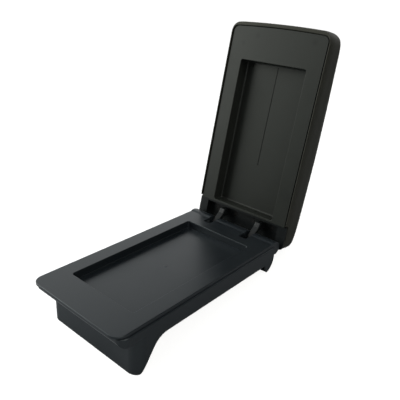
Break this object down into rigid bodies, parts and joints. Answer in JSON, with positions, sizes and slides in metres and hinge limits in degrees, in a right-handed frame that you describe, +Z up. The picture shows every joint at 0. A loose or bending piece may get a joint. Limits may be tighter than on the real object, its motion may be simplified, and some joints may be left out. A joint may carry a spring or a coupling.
{
  "type": "car centre armrest",
  "caption": "Car centre armrest with a moulded tray base, front skirt and rear lip, and a padded leatherette lid that swings on gooseneck hinge arms and holds a shallow pocketed inner panel.",
  "frame": {"origin": "middle of the flat underside of the tray floor, where the base rests on the console", "axes": "+X across the armrest to its right seen from the front, +Y to the hinged rear, +Z up"},
  "size_m": [0.159, 0.3907, 0.3441],
  "materials": {
    "base_plastic": "satin",
    "pin_steel": "satin",
    "bracket_plastic": "satin",
    "screw_steel": "satin",
    "carrier_plastic": "matte",
    "foam": "matte",
    "panel_plastic": "matte",
    "leatherette": "satin"
  },
  "bodies": {
    "base": {"base_shell": "base_plastic", "hinge_pin": "pin_steel"},
    "lid": {"hinge_bracket": "bracket_plastic", "bracket_screws": "screw_steel", "lid_carrier": "carrier_plastic", "lid_foam": "foam", "lid_panel": "panel_plastic", "lid_cover": "leatherette"}
  },
  "joints": [
    {"name": "lid_hinge", "type": "hinge", "parent": "base", "child": "lid", "pos_m": [0, 0.14275, 0.0037], "axis": [1, 0, 0], "range_deg": [0, 101]}
  ]
}
